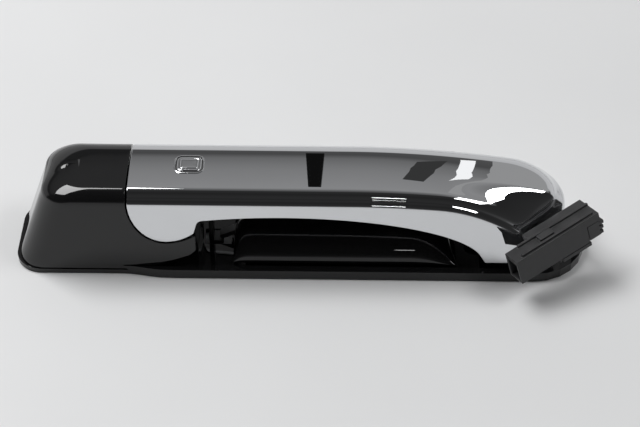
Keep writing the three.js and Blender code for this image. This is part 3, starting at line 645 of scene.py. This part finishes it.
class HandleFinish(bpy.types.PropertyGroup):
    chrome_colour: FloatVectorProperty(
        name="Chrome", description="Colour of the plated strap", subtype="COLOR",
        size=3, min=0, max=1, default=(0.74, 0.75, 0.765))
    gloss_colour: FloatVectorProperty(
        name="Gloss black", description="Colour of the base and end cap", subtype="COLOR",
        size=3, min=0, max=1, default=(0.0062, 0.0062, 0.0066))


class HandleShape(bpy.types.PropertyGroup):
    cover_wall: FloatProperty(
        name="Cover wall", description="Thickness of the chrome cover",
        default=0.002, min=0.001, max=0.003, unit="LENGTH")
    cap_wall: FloatProperty(
        name="Cap wall", description="Thickness of the end cap",
        default=0.0025, min=0.001, max=0.003, unit="LENGTH")
    edge_round: FloatProperty(
        name="Edge rounding", description="Small radius round the edges of both",
        default=0.0003, min=0.0001, max=0.0008, unit="LENGTH")


class HandleStudio(bpy.types.PropertyGroup):
    elevation: FloatProperty(
        name="Camera elevation", description="Height of the camera above the table",
        default=math.radians(42), subtype="ANGLE")
    distance: FloatProperty(
        name="Camera distance", description="Distance from the middle of the handle",
        default=0.707, min=0.3, max=3, unit="LENGTH")
    table_colour: FloatVectorProperty(
        name="Table", description="Colour of the table top", subtype="COLOR",
        size=3, min=0, max=1, default=(0.78, 0.785, 0.79))


# ---------------------------------------------------------------- operators

class HANDLE_OT_chrome_cover(bpy.types.Operator):
    """Make the chrome cover of the strap"""
    bl_idname = "handle.chrome_cover"
    bl_label = "Chrome cover"

    def execute(self, context):
        shape = context.scene.handle_shape
        lip = shape.edge_round / MM
        skin = faced(strap_skin(lip), (0, 0, 15))
        runs = [
            (skin, np.s_[::-1, 0], np.s_[::-1, 1]),
            (skin, np.s_[0, :], np.s_[1, :]),
            (skin, np.s_[:, -1], np.s_[:, -2]),
        ]
        solid = shell([skin], walk(runs), shape.cover_wall / MM, lip)
        piece = mesh_object("chrome_strap_cover", *solid)
        wear(piece, "bright_chrome", "strap", ["chrome_cover"])
        return {"FINISHED"}


class HANDLE_OT_end_cap(bpy.types.Operator):
    """Make the gloss black end cap with its mouth and end wall"""
    bl_idname = "handle.end_cap"
    bl_label = "End cap"

    def execute(self, context):
        shape = context.scene.handle_shape
        lip, wall = shape.edge_round / MM, shape.cap_wall / MM
        top, side = cap_skin(lip)
        near = tongue_skin(lip, -1, float(top[0][0, 0, 2]))
        far = tongue_skin(lip, 1, float(top[0][0, -1, 2]))
        runs = [
            (top, np.s_[::-1, 0], np.s_[::-1, 1]),
            (near, np.s_[-1, :], np.s_[-2, :]),
            (near, np.s_[::-1, -1], np.s_[::-1, -2]),
            (near, np.s_[0, ::-1], np.s_[1, ::-1]),
            (side, np.s_[0, :], np.s_[1, :]),
            (far, np.s_[0, :], np.s_[1, :]),
            (far, np.s_[:, -1], np.s_[:, -2]),
            (far, np.s_[-1, ::-1], np.s_[-2, ::-1]),
            (top, np.s_[:, -1], np.s_[:, -2]),
        ]
        solids = [shell([top, side, near, far], walk(runs), wall, lip)]
        for sign, ref in ((-1, near), (1, far)):
            solids.append(open_sheet(mouth_skin(sign, float(ref[0][-1, 0, 2])), 1.2, 0.15))
        solids.append(open_sheet(end_wall_skin(float(near[0][-1, 0, 2])), 1.2, 0.15))
        piece = mesh_object("end_cap_shell", *gather(solids))
        wear(piece, "gloss_black", "base", ["end_cap"])
        return {"FINISHED"}


class HANDLE_OT_well_cover(bpy.types.Operator):
    """Make the smooth raised floor of the finger well"""
    bl_idname = "handle.well_cover"
    bl_label = "Well cover"

    def execute(self, context):
        piece = mesh_object("well_floor", *well_skin())
        if piece.data.polygons[len(piece.data.polygons) // 2].normal.z < 0:
            piece.data.flip_normals()
        thick = piece.modifiers.new("thickness", "SOLIDIFY")
        thick.thickness = 2 * MM
        thick.offset = -1
        wear(piece, "gloss_black", "base", ["well_cover"])
        return {"FINISHED"}


class HANDLE_OT_button(bpy.types.Operator):
    """Make the lock button, its bezel and the seal between them"""
    bl_idname = "handle.button"
    bl_label = "Lock button"

    def execute(self, context):
        pad = mesh_object("lock_pad", *pad_stack(PAD_ROWS), 40)
        wear(pad, "bright_chrome", "button", ["lock_button"])
        bezel = mesh_object("lock_bezel", *pad_stack(BEZEL_ROWS, True), 40)
        wear(bezel, "bright_chrome", "strap", ["button_bezel"])
        seal = mesh_object("lock_seal", *pad_stack(SEAL_ROWS, True), 40)
        wear(seal, "rubber_black", "strap", ["button_boot"])
        return {"FINISHED"}


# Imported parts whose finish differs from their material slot
NODE_FINISHES = {
    "strap_hook": "coated_black", "latch_lever": "coated_black", "lever_mount": "coated_black",
    "lever_pin": "coated_black",
}
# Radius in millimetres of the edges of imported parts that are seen
SOFTENED = {
    "base_frame": 0.7, "connector_housing": 0.3, "connector_lock": 0.3, "connector_cradle": 0.3,
    "strap_hook": 0.3, "latch_lever": 0.3, "lever_mount": 0.3,
}


class HANDLE_OT_finishes(bpy.types.Operator):
    """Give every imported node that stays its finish"""
    bl_idname = "handle.finishes"
    bl_label = "Finishes of the packed parts"

    def execute(self, context):
        slots = {row["node"]: row["material_slot"] for row in frame["record"]["subparts"]}
        for name, node in frame["nodes"].items():
            node.data.materials.clear()
            node.data.materials.append(finish(NODE_FINISHES.get(name, slots[name])))
            if name in SOFTENED:
                weld = node.modifiers.new("join", "WELD")
                weld.merge_threshold = 0.01 * MM
                soft = node.modifiers.new("soft edges", "BEVEL")
                soft.width = SOFTENED[name] * MM
                soft.segments = 3
                soft.limit_method = "ANGLE"
                soft.angle_limit = math.radians(38)
        return {"FINISHED"}


class HANDLE_OT_studio(bpy.types.Operator):
    """Make the table, the room, the lights and the camera"""
    bl_idname = "handle.studio"
    bl_label = "Studio"

    def execute(self, context):
        make_table()
        make_room()
        make_cards()
        make_lights()
        make_camera()
        context.scene.view_settings.view_transform = "Standard"
        return {"FINISHED"}


def make_table():
    """A wide table top just below the handle, gently uneven far from it."""
    settings = bpy.context.scene.handle_studio
    span = np.linspace(-3, 3, 61)
    x, y = np.meshgrid(span, span)
    away = np.clip(np.hypot(x, y) - 0.5, 0, None)
    z = -0.0002 - 0.0006 * away * (1 - np.cos(x * 2.1)) * (1 - np.cos(y * 1.7))
    points = np.stack([x, y, z], axis=-1).reshape(-1, 3)
    table = mesh_object("table_top", points / MM, grid_faces(61, 61))
    colour = tuple(settings.table_colour)
    material, tree, shader = new_material("table_white", colour, 0.55)
    tint(tree, noise(tree, 7, 4), colour, shade(colour, 0.975), shader)
    bump(tree, noise(tree, 120, 4), shader, 0.15, 0.15)
    table.data.materials.append(material)


def make_room():
    """The room as light from all round: a node tree over the direction of view."""
    world = bpy.data.worlds.new("room")
    world.use_nodes = True
    bpy.context.scene.world = world
    tree = world.node_tree
    back = tree.nodes["Background"]
    place = tree.nodes.new("ShaderNodeTexCoord")
    split = tree.nodes.new("ShaderNodeSeparateXYZ")
    tree.links.new(place.outputs["Generated"], split.inputs["Vector"])
    far_ramp = tree.nodes.new("ShaderNodeValToRGB")
    near_ramp = tree.nodes.new("ShaderNodeValToRGB")
    fill_ramp(far_ramp, [(0.0, 0.62), (0.42, 0.55), (0.46, 0.10), (0.54, 0.08), (0.58, 0.17),
                         (0.68, 0.25), (0.82, 0.31), (1.0, 0.10)])
    fill_ramp(near_ramp, [(0.0, 0.30), (0.10, 0.06), (0.25, 0.03), (0.8, 0.02), (1.0, 0.03)])
    for ramp in (far_ramp, near_ramp):
        tree.links.new(split.outputs["Z"], ramp.inputs["Fac"])
    side = tree.nodes.new("ShaderNodeMapRange")
    side.inputs["From Min"].default_value = -0.08
    side.inputs["From Max"].default_value = 0.08
    tree.links.new(split.outputs["Y"], side.inputs["Value"])
    mix = tree.nodes.new("ShaderNodeMix")
    mix.data_type = "RGBA"
    tree.links.new(side.outputs["Result"], mix.inputs["Factor"])
    tree.links.new(near_ramp.outputs["Color"], mix.inputs["A"])
    tree.links.new(far_ramp.outputs["Color"], mix.inputs["B"])
    tree.links.new(mix.outputs["Result"], back.inputs["Color"])


def fill_ramp(node, stops):
    """Sets a colour ramp from place and grey value pairs."""
    ramp = node.color_ramp
    ramp.elements.remove(ramp.elements[1])
    for i, (place, value) in enumerate(stops):
        element = ramp.elements.new(place) if i else ramp.elements[0]
        element.position = place
        element.color = (value, value, value * 1.01, 1)


def card(name, left, right, radiance):
    """A curved card of even brightness on a sphere round the handle, for the strap to reflect.
    Each side is a list of azimuth (from +Y towards +X) and elevation in degrees."""
    def rim(side):
        at = np.radians(np.array(side, dtype=float))
        t = np.linspace(0, 1, len(at))
        az, up = (np.interp(np.linspace(0, 1, 24), t, at[:, i]) for i in range(2))
        return np.column_stack([np.sin(az) * np.cos(up), np.cos(az) * np.cos(up), np.sin(up)])
    share = np.linspace(0, 1, 6)[:, None, None]
    grid = 1500 * (rim(left)[None] * (1 - share) + rim(right)[None] * share)
    piece = mesh_object(name, grid.reshape(-1, 3), grid_faces(6, 24))
    material = bpy.data.materials.new(name)
    material.use_nodes = True
    tree = material.node_tree
    tree.nodes.remove(tree.nodes["Principled BSDF"])
    glow = tree.nodes.new("ShaderNodeEmission")
    glow.inputs["Color"].default_value = (radiance, radiance, radiance, 1)
    tree.links.new(glow.outputs[0], tree.nodes["Material Output"].inputs["Surface"])
    piece.data.materials.append(material)


def make_cards():
    """What stands round the table: a dark post, a dark panel, a bright gap and a pale wall."""
    card("post", [(-0.55, 33), (-0.55, 55)], [(0.6, 33), (0.6, 55)], 0.006)
    card("dark_panel", [(12.0, 36), (12.6, 48)], [(15.6, 33), (16.6, 48)], 0.045)
    card("bright_gap", [(16.9, 31), (18.6, 38), (21.5, 46)], [(18.6, 30), (20.6, 37), (24.0, 45)], 1.2)
    card("pale_wall", [(19.4, 26), (24.5, 40), (30, 52)], [(62, 22), (70, 36), (80, 44)], 0.36)


def softbox(name, place, target, width, depth, radiance):
    """A rectangular light facing a target, with its power set from the radiance wanted."""
    data = bpy.data.lights.new(name, "AREA")
    data.shape = "RECTANGLE"
    data.size, data.size_y = width, depth
    data.energy = radiance * math.pi * width * depth
    lamp = bpy.data.objects.new(name, data)
    lamp.location = place
    direction = np.array(target) - np.array(place)
    lamp.rotation_euler = Vector(direction).to_track_quat("-Z", "Y").to_euler()
    bpy.context.scene.collection.objects.link(lamp)


def make_lights():
    """Two ceiling lights and a small window behind the camera."""
    softbox("ceiling_left", (-0.75, 0.30, 1.4), (-0.5, 0.1, 0), 1.1, 0.6, 10.0)
    softbox("ceiling_right", (0.80, -0.12, 1.15), (0.1, 0.0, 0), 0.5, 0.42, 6.0)
    softbox("window", (0.15, -1.25, 0.62), (0.0, 0.0, 0), 0.09, 0.03, 12.0)


def make_camera():
    """A long lens above the near side, looking at the middle of the handle."""
    settings = bpy.context.scene.handle_studio
    data = bpy.data.cameras.new("camera")
    data.lens = 90.3
    data.sensor_width = 36
    data.clip_start, data.clip_end = 0.01, 50
    camera = bpy.data.objects.new("camera", data)
    target = Vector((0.0079, 0.0013, 0.0153))
    up = settings.elevation
    camera.location = target + settings.distance * Vector((0, -math.cos(up), math.sin(up)))
    turn = (target - camera.location).to_track_quat("-Z", "Y").to_matrix().to_4x4()
    camera.rotation_euler = (turn @ Matrix.Rotation(math.radians(0.6), 4, "Z")).to_euler()
    bpy.context.scene.collection.objects.link(camera)
    bpy.context.scene.camera = camera


STEPS = ("finishes", "chrome_cover", "end_cap", "well_cover", "button", "studio")


class HANDLE_PT_panel(bpy.types.Panel):
    """Lists the settings and the steps that make the handle"""
    bl_idname = "HANDLE_PT_panel"
    bl_label = "Door handle"
    bl_space_type = "VIEW_3D"
    bl_region_type = "UI"
    bl_category = "Door handle"

    def draw(self, context):
        for group in ("handle_shape", "handle_finish", "handle_studio"):
            settings = getattr(context.scene, group)
            for name in settings.__annotations__:
                self.layout.prop(settings, name)
        for step in STEPS:
            self.layout.operator(f"handle.{step}")


GROUPS = {"handle_shape": HandleShape, "handle_finish": HandleFinish, "handle_studio": HandleStudio}
CLASSES = (
    *GROUPS.values(), HANDLE_OT_finishes, HANDLE_OT_chrome_cover, HANDLE_OT_end_cap,
    HANDLE_OT_well_cover, HANDLE_OT_button,
    HANDLE_OT_studio, HANDLE_PT_panel,
)


def register():
    for item in CLASSES:
        bpy.utils.register_class(item)
    for name, group in GROUPS.items():
        setattr(bpy.types.Scene, name, PointerProperty(type=group))


def unregister():
    for name in GROUPS:
        delattr(bpy.types.Scene, name)
    for item in reversed(CLASSES):
        bpy.utils.unregister_class(item)


def main():
    register()
    for step in STEPS:
        getattr(bpy.ops.handle, step)()


if __name__ == "__main__":
    main()
